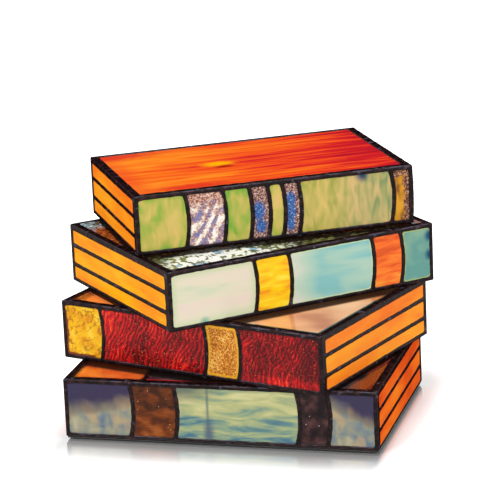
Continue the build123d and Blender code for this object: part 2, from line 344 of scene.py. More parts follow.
def nearest(across, up, seed, width, height):
    """Distances to the nearest of the spots strewn over a pane, in cells of a width and height."""
    return noise.voronoi(Vector((across / width, up / height, seed)))[0]


def waves(phase):
    return 0.5 + 0.5 * math.sin(2 * math.pi * phase)


def rolled(across, up, seed):
    """Machine-rolled glass: a faint long wave."""
    return 0.00008 * swell(across, up, seed, 60, 60)


def rippled(across, up, seed):
    """Wavy slanted ridges that part, join and fade, as on ripple glass."""
    drift = swell(across, up, seed, 30, 34)
    fork = swell(across, up, seed + 7, 120, 85)
    ridge = waves((across - 0.34 * up + 0.0080 * drift + 0.0034 * fork) / 0.0041) ** 1.3
    strength = 0.62 + 0.55 * swell(across, up, seed + 11, 190, 120)
    return 0.00044 * ridge * strength + 0.00008 * swell(across, up, seed, 500, 300)


def hammered(across, up, seed):
    """Round lens-like bumps, close together."""
    distance = nearest(across, up, seed, 0.0046, 0.0046)[0]
    return 0.00052 * max(0.0, 1 - (distance / 0.62) ** 2)


def granular(across, up, seed):
    """Fine rough grain."""
    return 0.00014 * swell(across, up, seed, 650, 650) + 0.00014 * swell(across, up, seed + 3, 260, 260)


def crackled(across, up, seed):
    """Raised cells parted by thin valleys."""
    bend = 0.0012 * swell(across, up, seed, 300, 300)
    distances = nearest(across + bend, up + bend, seed, 0.0052, 0.0044)
    return 0.00038 * min(1.0, (distances[1] - distances[0]) * 2.6)


def seedy(across, up, seed):
    """Smooth glass with a few small raised seeds."""
    distance = nearest(across, up, seed, 0.0058, 0.0058)[0]
    return 0.0001 * swell(across, up, seed, 90, 90) + 0.00038 * max(0.0, 1 - (distance / 0.16) ** 2)


def diagonal(across, up, seed):
    """Broad waves that run up to the right."""
    drift = swell(across, up, seed, 62, 40)
    fork = swell(across, up, seed + 4, 210, 130)
    return 0.0004 * waves((across * 0.86 - up * 0.5 + 0.0062 * drift + 0.0022 * fork) / 0.0105)


RELIEFS = {
    "rolled": (rolled, (0.004, 0.004)),
    "rippled": (rippled, (0.0006, 0.0012)),
    "hammered": (hammered, (0.0013, 0.0013)),
    "granular": (granular, (0.0009, 0.0009)),
    "crackled": (crackled, (0.0009, 0.0009)),
    "seedy": (seedy, (0.0010, 0.0010)),
    "diagonal": (diagonal, (0.0009, 0.0009)),
}


# Geometry of the solder

def foot_row(panes):
    """The panes of a wall's lowest row, from left to right."""
    lowest = min(pane.low[1] for pane in panes)
    return sorted((pane for pane in panes if pane.low[1] < lowest + 1e-4), key=lambda pane: pane.low[0])


def skin(start, rings, sides, closed=False, corners=((0, 0), (0, 1), (1, 1), (1, 0))):
    """Faces from ring to ring of vertices; corners gives the turn of each face."""
    return [tuple(start + (ring + r) % rings * sides + (step + t) % sides for r, t in corners)
            for ring in range(rings if closed else rings - 1) for step in range(sides)]


class Beads:
    """Closed tubes and balls that overlap, to be merged into one solder network."""

    def __init__(self, book):
        self.book = book
        self.vertices = []
        self.faces = []

    def section(self, centre, across, outward, half_width, half_depth, power):
        """The squarish section of a bead: one ring of vertices."""
        for step in range(bead_sides):
            angle = 2 * math.pi * step / bead_sides
            c, s = math.cos(angle), math.sin(angle)
            along = math.copysign(abs(c) ** (2 / power), c) * half_width
            out = math.copysign(abs(s) ** (2 / power), s) * half_depth
            self.vertices.append(centre + across * along + outward * out)

    def tube(self, centres, across, outward, widths, half_depth, power):
        """A tube through centres, with its own half-width at each, and closed ends."""
        start = len(self.vertices)
        for centre, half_width in zip(centres, widths):
            self.section(Vector(centre), Vector(across), Vector(outward), half_width, half_depth, power)
        self.faces += skin(start, len(centres), bead_sides)
        first = range(start, start + bead_sides)
        last = [v + (len(centres) - 1) * bead_sides for v in first]
        self.faces += [tuple(reversed(first)), tuple(last)]

    def bar(self, wall, upright, ends, edges, border):
        """A bar in a wall. edges(t) gives its two visible edges at t, its place along it.

        upright bars run along the wall's second axis. border is -1 or 1 where the bar's low or
        high edge is the book's own edge, and 0 between two panes.
        """
        first, second, through, sign = WALLS[wall]
        count = max(2, math.ceil((ends[1] - ends[0]) / bead_step))
        low, high = edges(ends[0])
        narrow = not border or high - low < 2 * narrow_border
        power = seam_power if narrow else border_power
        centres, widths = [], []
        for index in range(count + 1):
            place = ends[0] + (ends[1] - ends[0]) * index / count
            low, high = edges(place)
            if border:
                half = (high - low) / (1 + border_share)
                centre = low + half if border < 0 else high - half
            else:
                half = (high - low) / 2 / seam_share
                centre = (low + high) / 2
            spot = Vector(wall_point(self.book, wall, place, centre, 0)) * wobbles_per_metre
            wobble = noise.noise_vector(spot + Vector((first, second, 10 * through)))
            if not border:
                centre += bead_wobble * wobble.x
                half += seam_gain * (1 + seam_flare * 4 * abs(2 * index / count - 1) ** 6)
            widths.append(half * (1 + width_wobble * wobble.y) + bead_gain)
            sink = came_depth / 2 + abs(wobble.z) * sink_wobble - bead_gain / 2
            spot = (centre, place) if upright else (place, centre)
            centres.append(wall_point(self.book, wall, *spot, sink))
        across, outward = [0, 0, 0], [0, 0, 0]
        across[first if upright else second] = 1
        outward[through] = sign
        self.tube(centres, across, outward, widths, came_depth / 2, power)

    def wall_frame(self, wall, panes):
        """All bars of one wall: between its panes, and round them out to the book's edges."""
        upright = wall in ("spine", "cover", "underside")
        side, run = (0, 1) if upright else (1, 0)
        sizes = [self.book.size[axis] for axis in WALLS[wall][:2]]
        windows = sorted((pane.window() for pane in panes), key=lambda window: window.low[side])
        low, high = windows[0].low[run], windows[0].high[run]

        def edge(window, which):
            if upright:
                return lambda t: window.side(which, min(max(t, low), high))
            return lambda t: (window.low, window.high)[which][1]

        edges = [lambda t: 0.0]
        edges += [edge(window, which) for window in windows for which in (0, 1)]
        edges.append(lambda t: sizes[side])
        for index in range(0, len(edges), 2):
            one, other = edges[index:index + 2]
            border = (index == len(edges) - 2) - (index == 0)
            if index == 0 and wall == "back" and self.book.name == "bottom":
                self.notch_bars(one, other)
            else:
                self.bar(wall, upright, (0.0, sizes[run]), lambda t: (one(t), other(t)), border)
        self.bar(wall, not upright, (0.0, sizes[side]), lambda t: (0.0, low), -1)
        self.bar(wall, not upright, (0.0, sizes[side]), lambda t: (high, sizes[run]), 1)

    def notch_bars(self, foot, head):
        """The foot of the bottom book's back wall, with the notch for the cord bush."""
        book = self.book
        left, right = book.along - notch_half_width, book.along + notch_half_width
        one, other = (pane.window() for pane in foot_row([pane for _, pane in book.walls["back"]]))
        top = one.high[1]
        for ends in ((0.0, left), (right, book.length)):
            self.bar("back", False, ends, lambda t: (foot(t), head(t)), -1)
        self.bar("back", True, (0.0, top), lambda t: (one.high[0], left), 1)
        self.bar("back", True, (0.0, top), lambda t: (right, other.low[0]), -1)
        self.bar("back", False, (left - foil_lap, right + foil_lap), lambda t: (notch_height, top), -1)

    def rim_ring(self, level):
        """The flat ring round a light well."""
        start = len(self.vertices)
        for index in range(well_steps):
            turn = 2 * math.pi * index / well_steps
            out = Vector((math.cos(turn), math.sin(turn), 0))
            centre = Vector((self.book.along, self.book.across, level))
            centre += out * (well_radius + well_rim / 2)
            self.section(centre, out, Vector((0, 0, 1)), well_rim / 2, came_depth / 2, border_power)
        self.faces += skin(start, well_steps, bead_sides, closed=True)

    def blob(self, centre, radius):
        """A low-cut ball of solder on a corner."""
        start = len(self.vertices)
        for ring in range(blob_rings + 1):
            tilt = math.pi * ring / blob_rings
            for side in range(blob_sides):
                turn = 2 * math.pi * side / blob_sides
                direction = Vector((math.sin(tilt) * math.cos(turn), math.sin(tilt) * math.sin(turn),
                                    math.cos(tilt)))
                self.vertices.append(Vector(centre) + direction * radius)
        self.faces += skin(start, blob_rings + 1, blob_sides, corners=((0, 0), (1, 0), (1, 1), (0, 1)))


def merged(piece):
    """Merges overlapping closed shells into one smooth skin."""
    remesh = piece.modifiers.new("merge", "REMESH")
    remesh.mode = "VOXEL"
    remesh.voxel_size = voxel
    smooth = piece.modifiers.new("soften", "SMOOTH")
    smooth.factor = 0.5
    smooth.iterations = smoothing_rounds
    fewer = piece.modifiers.new("fewer", "DECIMATE")
    fewer.ratio = solder_faces_kept
    graph = bpy.context.evaluated_depsgraph_get()
    mesh = bpy.data.meshes.new_from_object(piece.evaluated_get(graph))
    piece.modifiers.clear()
    old = piece.data
    piece.data = mesh
    bpy.data.meshes.remove(old)


def kept_inside(spot, limits):
    """The spot, or the nearest place to it inside the book's box with rounded edges."""
    inner = Vector([min(max(value, edge_round), limit - edge_round)
                    for value, limit in zip(spot, limits)])
    offset = spot - inner
    return inner + offset * min(1.0, edge_round / max(offset.length, 1e-9))


def solder_beads(book):
    """The bars of every wall, the rings round the light wells and a blob on each corner."""
    beads = Beads(book)
    for wall in WALLS:
        panes = [pane for _, pane in book.walls[wall]]
        if wall == "back" and book.name == "bottom":
            feet = foot_row(panes)
            joined = Pane(feet[0].low, feet[-1].high)
            panes = [joined] + [pane for pane in panes if pane not in feet]
        if panes:
            beads.wall_frame(wall, panes)
    if book.name != "bottom":
        beads.rim_ring(came_depth / 2)
    if book.name != "top":
        beads.rim_ring(book.height - came_depth / 2)
    for x in (0, book.length):
        for y in (0, book.depth):
            for z in (0, book.height):
                spot = Vector((x, y, z)) * 40 + Vector((book.along * 90, 0, 0))
                radius = corner_blob * (1 + 0.25 * noise.noise(spot))
                beads.blob([abs(value - radius * blob_inset) for value in (x, y, z)], radius)
    return beads


def hand_soldered(book, mesh):
    """Lumps over the whole network, the bulged corner of the top book, and how deep it all lies."""
    limits = list(book.size)
    if book.name == "top":
        limits[0] += top_spine_bulge
    middle = book.height / 2
    seed = Vector((book.along * 500, 0, 0))
    spots, depths = [], []
    for vertex in mesh.vertices:
        lump = lump_height * noise.noise(vertex.co * lumps_per_metre + seed)
        fine = fine_height * noise.noise(vertex.co * fines_per_metre)
        moved = vertex.co + vertex.normal * (lump + fine - skin_drop)
        if book.name == "top":
            rise = 1 - ((moved.z - middle) / middle) ** 2
            end = max(0.0, 1 - (book.length - moved.x) / bulge_length)
            moved.x += top_spine_bulge * rise * end * max(0.0, 1 - moved.y / bulge_depth)
        x, y, z = kept_inside(moved, limits)
        spots += [x, y, z]
        depths.append(min(x, book.length - x, y, book.depth - y, z, book.height - z))
    mesh.vertices.foreach_set("co", spots)
    mesh.update()
    store(mesh, "depth", depths)


def solder_piece(book, material):
    beads = solder_beads(book)
    piece = add_object(f"{book.name}_solder_network", book, beads.vertices, beads.faces, material)
    merged(piece)
    piece.data.polygons.foreach_set("use_smooth", [True] * len(piece.data.polygons))
    hand_soldered(book, piece.data)
    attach(piece, "stack")
    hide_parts(f"{book.name}_solder")


# Materials

class Signal:
    """What a shader node puts out. Arithmetic with it makes Math nodes."""

    def __init__(self, nodes, socket):
        self.nodes = nodes
        self.socket = socket

    def __add__(self, other):
        return self.nodes.math("ADD", self, other)

    def __sub__(self, other):
        return self.nodes.math("SUBTRACT", self, other)

    def __rsub__(self, other):
        return self.nodes.math("SUBTRACT", other, self)

    def __mul__(self, other):
        return self.nodes.math("MULTIPLY", self, other)

    def __truediv__(self, other):
        return self.nodes.math("DIVIDE", self, other)


class Nodes:
    """A shader's node tree. Its helpers make nodes and return the signal that they put out."""

    def __init__(self, tree):
        self.tree = tree

    def put(self, socket, value):
        if isinstance(value, Signal):
            self.tree.links.new(value.socket, socket)
        else:
            socket.default_value = rgb(value) if isinstance(value, str) else value

    def add(self, kind, inputs, out=0, **settings):
        """A node with inputs by name or number, and with settings."""
        node = self.tree.nodes.new("ShaderNode" + kind)
        for name, value in settings.items():
            setattr(node, name, value)
        for key, value in inputs.items():
            self.put(node.inputs[key], value)
        return Signal(self, node.outputs[out])

    def math(self, operation, *values):
        return self.add("Math", dict(enumerate(values)), operation=operation)

    def slope(self, value, low, high, kind="SMOOTHSTEP"):
        """0 below low, 1 above high, smooth between. low may be above high."""
        return self.add("MapRange", {"Value": value, "From Min": low, "From Max": high},
                        interpolation_type=kind)

    def between(self, value, low, high):
        """low where the value is 0, high where it is 1."""
        return self.add("MapRange", {"Value": value, "To Min": low, "To Max": high})


class Finish(Nodes):
    """A node material on a Principled shader. plane lists the axes that a stretch is given for."""

    plane = (0, 1, 2)

    def __init__(self, name, seed=0):
        self.material = bpy.data.materials.new(name)
        self.material.use_nodes = True
        super().__init__(self.material.node_tree)
        self.shader = self.tree.nodes["Principled BSDF"]
        self.seed = seed
        self.position = self.add("TexCoord", {}, "Object")
        parts = self.add("SeparateXYZ", {"Vector": self.position}).socket.node.outputs
        self.x, self.y, self.z = (Signal(self, part) for part in parts)

    def set(self, **values):
        """Sets the shader's own sockets, such as Base_Color or Roughness."""
        for name, value in values.items():
            self.put(self.shader.inputs[name.replace("_", " ")], value)

    def scaled(self, size, stretch, more):
        """The position divided by a feature size in metres, and moved by the seed and more."""
        scale = [1 / size] * 3
        for axis, factor in zip(self.plane, stretch):
            scale[axis] = 1 / (size * factor)
        seed = self.seed + more
        place = (seed * 3.7, seed * 1.9, seed * 5.3)
        return self.add("Mapping", {"Vector": self.position, "Location": place, "Scale": scale})

    def noise(self, size, stretch=(), more=0, detail=2.0, rough=0.5, swirl=0.0):
        inputs = {"Vector": self.scaled(size, stretch, more), "Scale": 1.0, "Detail": detail,
                  "Roughness": rough, "Distortion": swirl}
        return self.add("TexNoise", inputs)

    def cells(self, size, more):
        return self.add("TexVoronoi", {"Vector": self.scaled(size, (), more), "Scale": 1.0}, "Distance")

    def ramp(self, share, *stops):
        """A colour ramp; a stop is its place and its colour."""
        colour = self.add("ValToRGB", {"Fac": share})
        elements = colour.socket.node.color_ramp.elements
        while len(elements) < len(stops):
            elements.new(0.5)
        for element, (place, tone) in zip(elements, stops):
            element.position = place
            element.color = rgb(tone)
        return colour

    def mix(self, share, one, other):
        return self.add("Mix", {0: share, 6: one, 7: other}, 2, data_type="RGBA")

    def mesh_value(self, name):
        """A value kept on the mesh, such as rim, the distance from the glass's visible edge."""
        return self.add("Attribute", {}, "Fac", attribute_name=name)

    def gloss(self, level, roughness, coat=0.0):
        """Reflection that is strong face-on and fades where the surface is seen at a low angle."""
        share = self.slope(self.add("LayerWeight", {"Blend": 0.5}, "Facing"), 0.70, 0.35)
        self.set(Specular_IOR_Level=level, Coat_Weight=coat)
        self.set(Roughness=roughness, Specular_IOR_Level=share * level, Coat_Roughness=0.05)
        if coat:
            self.set(Coat_Weight=share * coat)

    def bump(self, height, distance):
        self.set(Normal=self.add("Bump", {"Height": height, "Distance": distance}))

    def spot(self, across, up, place, radii, wander=0.0, more=0, soft=0.35):
        """1 inside a soft oval round place, 0 outside."""
        one, other = (across - place[0]) / radii[0], (up - place[1]) / radii[1]
        reach = self.math("SQRT", one * one + other * other)
        if wander:
            reach = reach + (self.noise(min(radii) * 0.8, more=more) - 0.5) * wander
        return self.slope(reach, 1 + soft, 1 - soft)


glass_body = 0.42
glass_glow = 0.62
# Painted shade: where a book rests on a cover, the cover is dark along its edge
contact_reach = 0.0140
contact_core = 0.0080
contact_side = 5.0
contact_share = 0.94
contact_shade_tone = (0.010, 0.005, 0.003, 1)
# Glass is darker along the solder, from flux and dirt that stay there and from painted shade where solder
# and glass meet
flux_and_shade_tone = (0.01, 0.006, 0.004, 1)
flux_and_shade_width = 0.0012


class GlassFinish(Finish):
    """A finish for glass lit from inside: u and v run from 0 to 1 over its pane, across and up in metres."""

    def __init__(self, name, wall, pane, seed):
        super().__init__(name, seed)
        window = pane.window()
        self.plane = WALLS[wall][:2]
        self.across, self.up = ((self.x, self.y, self.z)[axis] for axis in self.plane)
        self.u = self.share(self.across, window.low[0], window.high[0])
        self.v = self.share(self.up, window.low[1], window.high[1])
        self.rim, self.relief = self.mesh_value("rim"), self.mesh_value("relief")
        self.contact = None

    def share(self, value, low, high):
        """0 at low and 1 at high, and on past both."""
        return self.add("MapRange", {"Value": value, "From Min": low, "From Max": high}, clamp=False)

    def shade_under_book(self, book, above):
        """Mask of painted shade: 1 on a cover where the book above rests, fading out a little beyond its
        edge.
        """
        length, depth, yaw, along, across = BOOK_VALUES[above]
        turn = math.radians(yaw - BOOK_VALUES[book.name][2])
        one, other = self.across - book.along, self.up - book.across
        outside = []
        for first, second, start, size, weight in (
                (math.cos(turn), math.sin(turn), along, length, contact_side),
                (-math.sin(turn), math.cos(turn), across, depth, 1.0)):
            place = one * first + other * second + (start - size / 2)
            outside.append((self.math("ABSOLUTE", place) - size / 2) * weight)
        return self.slope(self.math("MAXIMUM", *outside), contact_reach, contact_core) * contact_share

    def lit(self, colour, glow=glass_glow, body=glass_body):
        """Colour as seen with the lamp on: part reflected light, part light from inside."""
        # Painted shade on a cover along the book above
        if self.contact is not None:
            colour = self.mix(self.contact, colour, contact_shade_tone)
        self.set(Base_Color=self.mix(body, (0, 0, 0, 1), colour), Emission_Color=colour,
                 Emission_Strength=glow)

    def finish(self, colour, height, rise, rim=0.6, gloss=(0.16, 0.14, 0.12), **light):
        """Ends a look. rim is the share of the colour left next to the solder, where flux, dirt and painted
        shade darken it; 0 for no dark rim.
        """
        if rim:
            # Flux, dirt and painted shade darken the glass along the solder
            edge = self.slope(self.rim, 0.0, flux_and_shade_width)
            colour = self.mix(edge, self.mix(rim, flux_and_shade_tone, colour), colour)
        self.lit(colour, **light)
        self.gloss(*gloss)
        self.bump(height, rise)

    def polished(self, colour, glow, body, roughness, level):
        """Ends the look of a smooth cover that mirrors the book above."""
        self.lit(colour, glow, body)
        self.set(Roughness=roughness, Specular_IOR_Level=level)

    def marked(self, colour, across, up, soft, marks):
        """The colour with soft oval marks: place, radii, wander, strength and tone of each."""
        for index, (place, radii, wander, strength, tone) in enumerate(marks):
            mark = self.spot(across, up, place, radii, wander, index, soft)
            colour = self.mix(mark * strength, colour, tone)
        return colour


# Looks of the glass types

DEEP_PAGES = ((0.30, "ce4216"), (0.46, "ea601e"), (0.60, "f47820"), (0.78, "fa8e2a"))
ORANGE_PAGES = ((0.30, "f26a18"), (0.46, "fa8620"), (0.60, "fe9e20"), (0.78, "ffb432"))
YELLOW_PAGES = ((0.30, "fc841a"), (0.45, "ffa016"), (0.62, "ffbe16"), (0.80, "ffce42"))


def page_glass(s, *stops):
    streak = s.noise(0.010, (5.0, 1.0), detail=3, swirl=0.4)
    cloud = s.noise(0.045, (1.6, 0.7), 2)
    # Painted shade: the strips high up, under the cover, are darker
    share = streak * 0.45 + cloud * 0.55 - s.slope(s.z, 0.026, 0.042) * 0.09
    s.finish(s.ramp(share, *stops), s.noise(0.02, (3, 1)), 0.0004, rim=0.75, gloss=(0.1, 0.3))


def green_mottled(s, green):
    wave = s.noise(0.0105, (0.66, 1.5), detail=0.5, swirl=0.7)
    patch = s.noise(0.024, (1.0, 1.2), 3, detail=1)
    share = wave * 0.62 + patch * 0.54 - green - s.slope(s.rim, 0.0050, 0.0) * 0.10
    colour = s.ramp(share, (0.34, "76aa3a"), (0.46, "9ab044"), (0.57, "bcb454"), (0.70, "d2bc62"),
                    (0.84, "e0bc6e"))
    s.finish(colour, wave, 0.0006, rim=0.8, gloss=(0.16, 0.2, 0.12))


def green_long(s):
    """The long mottled pane: wavy upright streaks, with a dark blue drop at its upper edge."""
    wave = s.noise(0.0092, (0.66, 1.8), detail=0.4, swirl=0.9)
    share = wave * 0.7 + s.noise(0.03, (1.0, 1.2), 3, detail=1) * 0.45
    warm = s.ramp(share, (0.32, "8c9a3e"), (0.48, "b2aa50"), (0.62, "c8b460"), (0.78, "dabc6a"))
    cool = s.ramp(share, (0.32, "768e60"), (0.48, "a2a264"), (0.62, "c2ae6e"), (0.78, "d6b47a"))
    drop = s.spot(s.u, s.v, (0.70, 1.0), (0.07, 0.13), 1.2, soft=0.7)
    colour = s.mix(drop, s.mix(s.slope(s.u, 0.25, 0.75), warm, cool), "243e60")
    s.finish(colour, wave, 0.0007, rim=0.8, gloss=(0.16, 0.2, 0.12))


def clear_iridescent(s):
    """Clear wavy glass with a sheen, painted shading from its relief that leaves the valleys lilac and the
    crests white, and a copper crust at the top.
    """
    ragged = s.noise(0.0034, detail=3, rough=0.65)
    grain = s.noise(0.0014, more=5, detail=3, rough=0.7)
    # Painted shading: the relief makes the crests whiter and the valleys lilac
    share = s.relief / 0.0004 + (ragged - 0.5) * 1.8 + (grain - 0.5) * 2.6
    colour = s.ramp(share, (0.02, "7078ae"), (0.20, "9e96bc"), (0.36, "b07056"), (0.54, "e0b49c"),
                    (0.78, "fffaee"))
    copper = s.ramp(grain, (0.38, "743c2c"), (0.50, "be7e62"), (0.60, "f0d6ca"))
    colour = s.mix(s.slope(s.noise(0.007, more=9), 0.46, 0.60) * 0.6, colour, copper)
    colour = s.mix(s.slope(s.v + (ragged - 0.5) * 0.7, 0.66, 0.86), colour, copper)
    s.finish(colour, grain, 0.0008, gloss=(0.2, 0.10, 0.15))


def blue_textured(s, *spots):
    """Copper-brown ground with cobalt ovals, with painted white glints in the grain of both."""
    grain = s.noise(0.0016, detail=3, rough=0.75)
    # Painted glints: the lightest grains of both ramps turn near white
    colour = s.ramp(grain, (0.36, "2c1a20"), (0.45, "70423c"), (0.54, "be8672"), (0.64, "faece2"))
    blue = s.ramp(grain, (0.36, "182c60"), (0.48, "3262ac"), (0.60, "5486c8"), (0.68, "ecf2fa"))
    for index, (place, radii) in enumerate(spots):
        colour = s.mix(s.spot(s.u, s.v, place, radii, 0.9, index), colour, blue)
    s.finish(colour, grain, 0.0009, gloss=(0.2, 0.12, 0.15), glow=0.5)


def amber_textured(s):
    """Amber glass with a bright copper crust along its right edge and top, whose lightest grains are painted
    glints.
    """
    cloud = s.noise(0.011, (0.7, 1.3))
    grain = s.noise(0.0012, more=3, detail=3, rough=0.75)
    amber = s.ramp(cloud, (0.38, "8c5412"), (0.48, "ce8a12"), (0.62, "e8a41c"))
    # Painted glints: the crust's lightest grains turn near white
    crust = s.ramp(grain, (0.40, "221414"), (0.50, "78422c"), (0.60, "ce9268"), (0.70, "fcecd6"))
    ragged = (s.noise(0.004, more=7) - 0.5) * 0.5
    share = s.math("MAXIMUM", s.slope(s.u + ragged, 0.62, 0.74), s.slope(s.v + ragged, 0.84, 0.94))
    s.finish(s.mix(share, amber, crust), grain, 0.0008, gloss=(0.2, 0.14, 0.15), glow=0.55)


def cover_red(s):
    """Streaky satin glass: orange to the left, red to the right, one short yellow streak."""
    streak = s.noise(0.0058, (13.0, 1.0), detail=4, rough=0.58, swirl=0.4)
    cloud = s.noise(0.06, (2.0, 0.8), 3, detail=1)
    share = streak * 0.72 + cloud * 0.35 + (s.u - 0.45) * -0.32 + 0.03
    colour = s.ramp(share, (0.30, "b0162a"), (0.42, "d42426"), (0.51, "ee4c20"), (0.60, "f66c1e"),
                    (0.74, "fb8e26"))
    colour = s.marked(colour, s.across, s.up, 0.7, (
        ((0.004, 0.070), (0.017, 0.0700), 0.8, 0.60, "ec4626"),
        ((0.056, 0.016), (0.038, 0.0080), 0.8, 0.85, "de1c22"),
        ((0.016, 0.143), (0.042, 0.0120), 0.8, 0.85, "de2826"),
        ((0.096, 0.081), (0.013, 0.0064), 0.8, 1.00, "ffb20a"),
        ((0.099, 0.070), (0.008, 0.0036), 0.8, 0.95, "9c1e0e")))
    s.finish(colour, streak, 0.0003, rim=0.9, gloss=(0.15, 0.45), glow=0.66, body=0.36)


def cream(s):
    cloud = s.noise(0.016, (4.0, 1.0), detail=3, swirl=0.6)
    colour = s.ramp(cloud, (0.34, "e8d6c4"), (0.48, "e6dac2"), (0.60, "e0dabe"), (0.74, "ced6b8"))
    colour = s.mix(s.slope(s.rim, 0.007, 0.0) * 0.8, colour, "cad6a8")
    drop = s.spot(s.u, s.v, (0.40, 0.0), (0.05, 0.09), 0.6, soft=0.7)
    s.finish(s.mix(drop * 0.7, colour, "60a896"), cloud, 0.0004, rim=0)


def yellow(s):
    streak = s.noise(0.006, (4.0, 1.0), detail=3, swirl=0.5)
    colour = s.ramp(streak, (0.34, "f49818"), (0.46, "fcc20e"), (0.58, "ffd212"), (0.72, "ffe446"))
    s.finish(colour, streak, 0.0003, rim=0.85)


def aqua(s):
    cloud = s.noise(0.018, (3.2, 1.0), swirl=0.5)
    share = cloud * 0.8 + s.slope(s.u + cloud * 0.3, 0.55, 0.12) * 0.34
    colour = s.ramp(share, (0.30, "84c0be"), (0.42, "a4ccbc"), (0.56, "bad2bc"), (0.72, "d8d8c8"))
    # Painted highlight: the lit edge of the glass shows pale along the solder
    colour = s.mix(s.slope(s.rim, 0.0016, 0.0002), colour, "cee0aa")
    s.finish(colour, cloud, 0.0003, rim=0)


def orange(s):
    streak = s.noise(0.0055, (4.5, 1.0), detail=3, swirl=0.6)
    colour = s.ramp(streak + (0.5 - s.v) * 0.16, (0.34, "de541a"), (0.46, "f66a22"), (0.58, "fd8026"),
                    (0.72, "ff9a32"))
    s.finish(colour, streak, 0.0003, rim=0.85)


def teal(s):
    cloud = s.noise(0.015, (1.6, 1.4))
    colour = s.ramp(cloud, (0.36, "6aa49a"), (0.50, "82b29c"), (0.64, "96bc9e"))
    # Painted highlight: the lit edge of the glass shows lighter along the solder
    colour = s.mix(s.slope(s.rim, 0.0016, 0.0002), colour, "b2c478")
    for height in (0.84, 0.46):
        drop = s.spot(s.u, s.v, (1.0, height), (0.15, 0.10), 1.2, soft=0.7)
        colour = s.mix(drop, colour, "145276")
    s.finish(colour, cloud, 0.0003, rim=0, glow=0.5)


def cover_hammered(s):
    """Dark olive hammered glass with painted shading on its domes, painted glints near the front and in its
    back left corner, and copper along the ends.
    """
    cloud = s.noise(0.02)
    dome = s.relief / 0.00052
    # Painted shading: the domes are lighter
    colour = s.ramp(cloud * 0.7 + dome * 0.3, (0.30, "16180e"), (0.48, "383c1c"), (0.64, "70763c"),
                    (0.82, "b0b67c"))
    fleck = s.noise(0.0030, more=2, detail=3, rough=0.7)
    brown = s.ramp(fleck, (0.38, "1e100c"), (0.50, "702c16"), (0.60, "ba542c"), (0.70, "c47854"))
    # Painted glints: the lightest grains of the corner's green turn blue-white
    green = s.ramp(fleck, (0.40, "141e1a"), (0.50, "284240"), (0.58, "78aabc"), (0.66, "e4f0ee"))
    corner = s.spot(s.across, s.up, (0.020, 0.178), (0.020, 0.016), 0.6, 8)
    ragged = s.math("MINIMUM", s.u, 1.0 - s.u) + (cloud - 0.5) * 0.12
    behind = s.math("MAXIMUM", s.slope(s.up, 0.045, 0.075), s.slope(s.u, 0.5, 0.6))
    colour = s.mix(s.slope(ragged, 0.11, 0.05) * behind, colour, s.mix(corner, brown, green))
    # Painted glints near the front, on a lighter painted ground
    bright = s.spot(s.across, s.up, (0.054, 0.020), (0.032, 0.034), 0.3, 3, 0.6)
    glint = s.noise(0.0046, (1.0, 2.2), 6, rough=0.6) * 0.8 + dome * 0.2 + bright * 0.11
    near = s.spot(s.across, s.up, (0.062, 0.014), (0.060, 0.032), 0.4)
    colour = s.mix(near * 0.5, colour, "969c60")
    white = s.mix(s.slope(cloud, 0.36, 0.42), "96c4de", "fdfdf4")
    colour = s.mix(near * s.slope(glint, 0.47, 0.53), colour, white)
    s.polished(colour, 0.45, 0.5, 0.10, 0.16)


def amber_crackled(s):
    """Amber glass with thin brown cracks, wrinkled low down, and a brown crust along its edges."""
    cloud = s.noise(0.012)
    wrinkle = s.noise(0.0030, (1.3, 0.8), 4, detail=2.5, rough=0.65, swirl=1.2)
    share = cloud + s.slope(s.v, 0.65, 0.25) * 0.55 * (wrinkle - 0.5)
    colour = s.ramp(share, (0.32, "de8e0c"), (0.44, "f3b00e"), (0.56, "fac014"), (0.76, "ffde54"))
    broken = s.slope(s.noise(0.007, more=8, detail=1), 0.46, 0.54)
    colour = s.mix(s.slope(s.relief, 0.00016, 0.00005) * broken * 0.6, colour, "80460a")
    corner = s.slope(s.u, 0.94, 0.80) * s.slope(s.v, 0.97, 0.85)
    crust = s.slope(s.rim + (wrinkle - 0.5) * 0.004, 0.0030, 0.0014) * corner
    s.finish(s.mix(crust, colour, "7e3414"), wrinkle, 0.0006, gloss=(0.16, 0.10, 0.1))


def red_ripple(s, dark=0.0):
    """Deep red ripple glass: painted shading makes the crests bright and the valleys dark, with fine painted
    orange glints.
    """
    cloud = s.noise(0.024, (1.0, 1.4))
    rough = s.noise(0.0023, (0.8, 1.8), 5, detail=2.5, rough=0.65)
    shard = s.noise(0.0060, (0.55, 1.5), 8, detail=3, rough=0.6, swirl=1.6)
    bright = s.slope(s.v, 0.24, 0.06) if dark else s.slope(s.v - s.u, -0.3, 0.7)
    # Painted shading: the relief makes the crests brighter and the valleys darker
    share = s.relief / 0.00046 * (0.24 if dark else 0.36) + cloud * 0.50 + (rough - 0.5) * 0.60
    share = share + (shard - 0.42) * (0.6 if dark else 0.2) + bright * 0.12 - dark
    colour = s.ramp(share, (0.22, "54060c"), (0.36, "840810"), (0.48, "b81016"), (0.60, "e21e18"),
                    (0.76, "fa582c"))
    # Painted orange glints
    painted_glints = s.noise(0.0010, more=2, rough=0.7)
    colour = s.mix(s.slope(painted_glints, 0.64, 0.71), colour, "ff9654")
    s.finish(colour, rough, 0.0006, gloss=(0.14, 0.10, 0.1), glow=0.6)


def amber_seedy(s):
    """Rough granular amber."""
    grain = s.noise(0.0015, detail=3, rough=0.75)
    cloud = s.noise(0.01, more=2)
    colour = s.ramp(grain * 0.85 + cloud * 0.2, (0.38, "70380e"), (0.47, "b06016"), (0.55, "d68622"),
                    (0.63, "f6be54"), (0.72, "fff0be"))
    edge = s.slope(s.rim + (cloud - 0.5) * 0.003, 0.0030, 0.0010)
    s.finish(s.mix(edge * 0.7, colour, "fab822"), grain, 0.0008, gloss=(0.16, 0.12, 0.1))


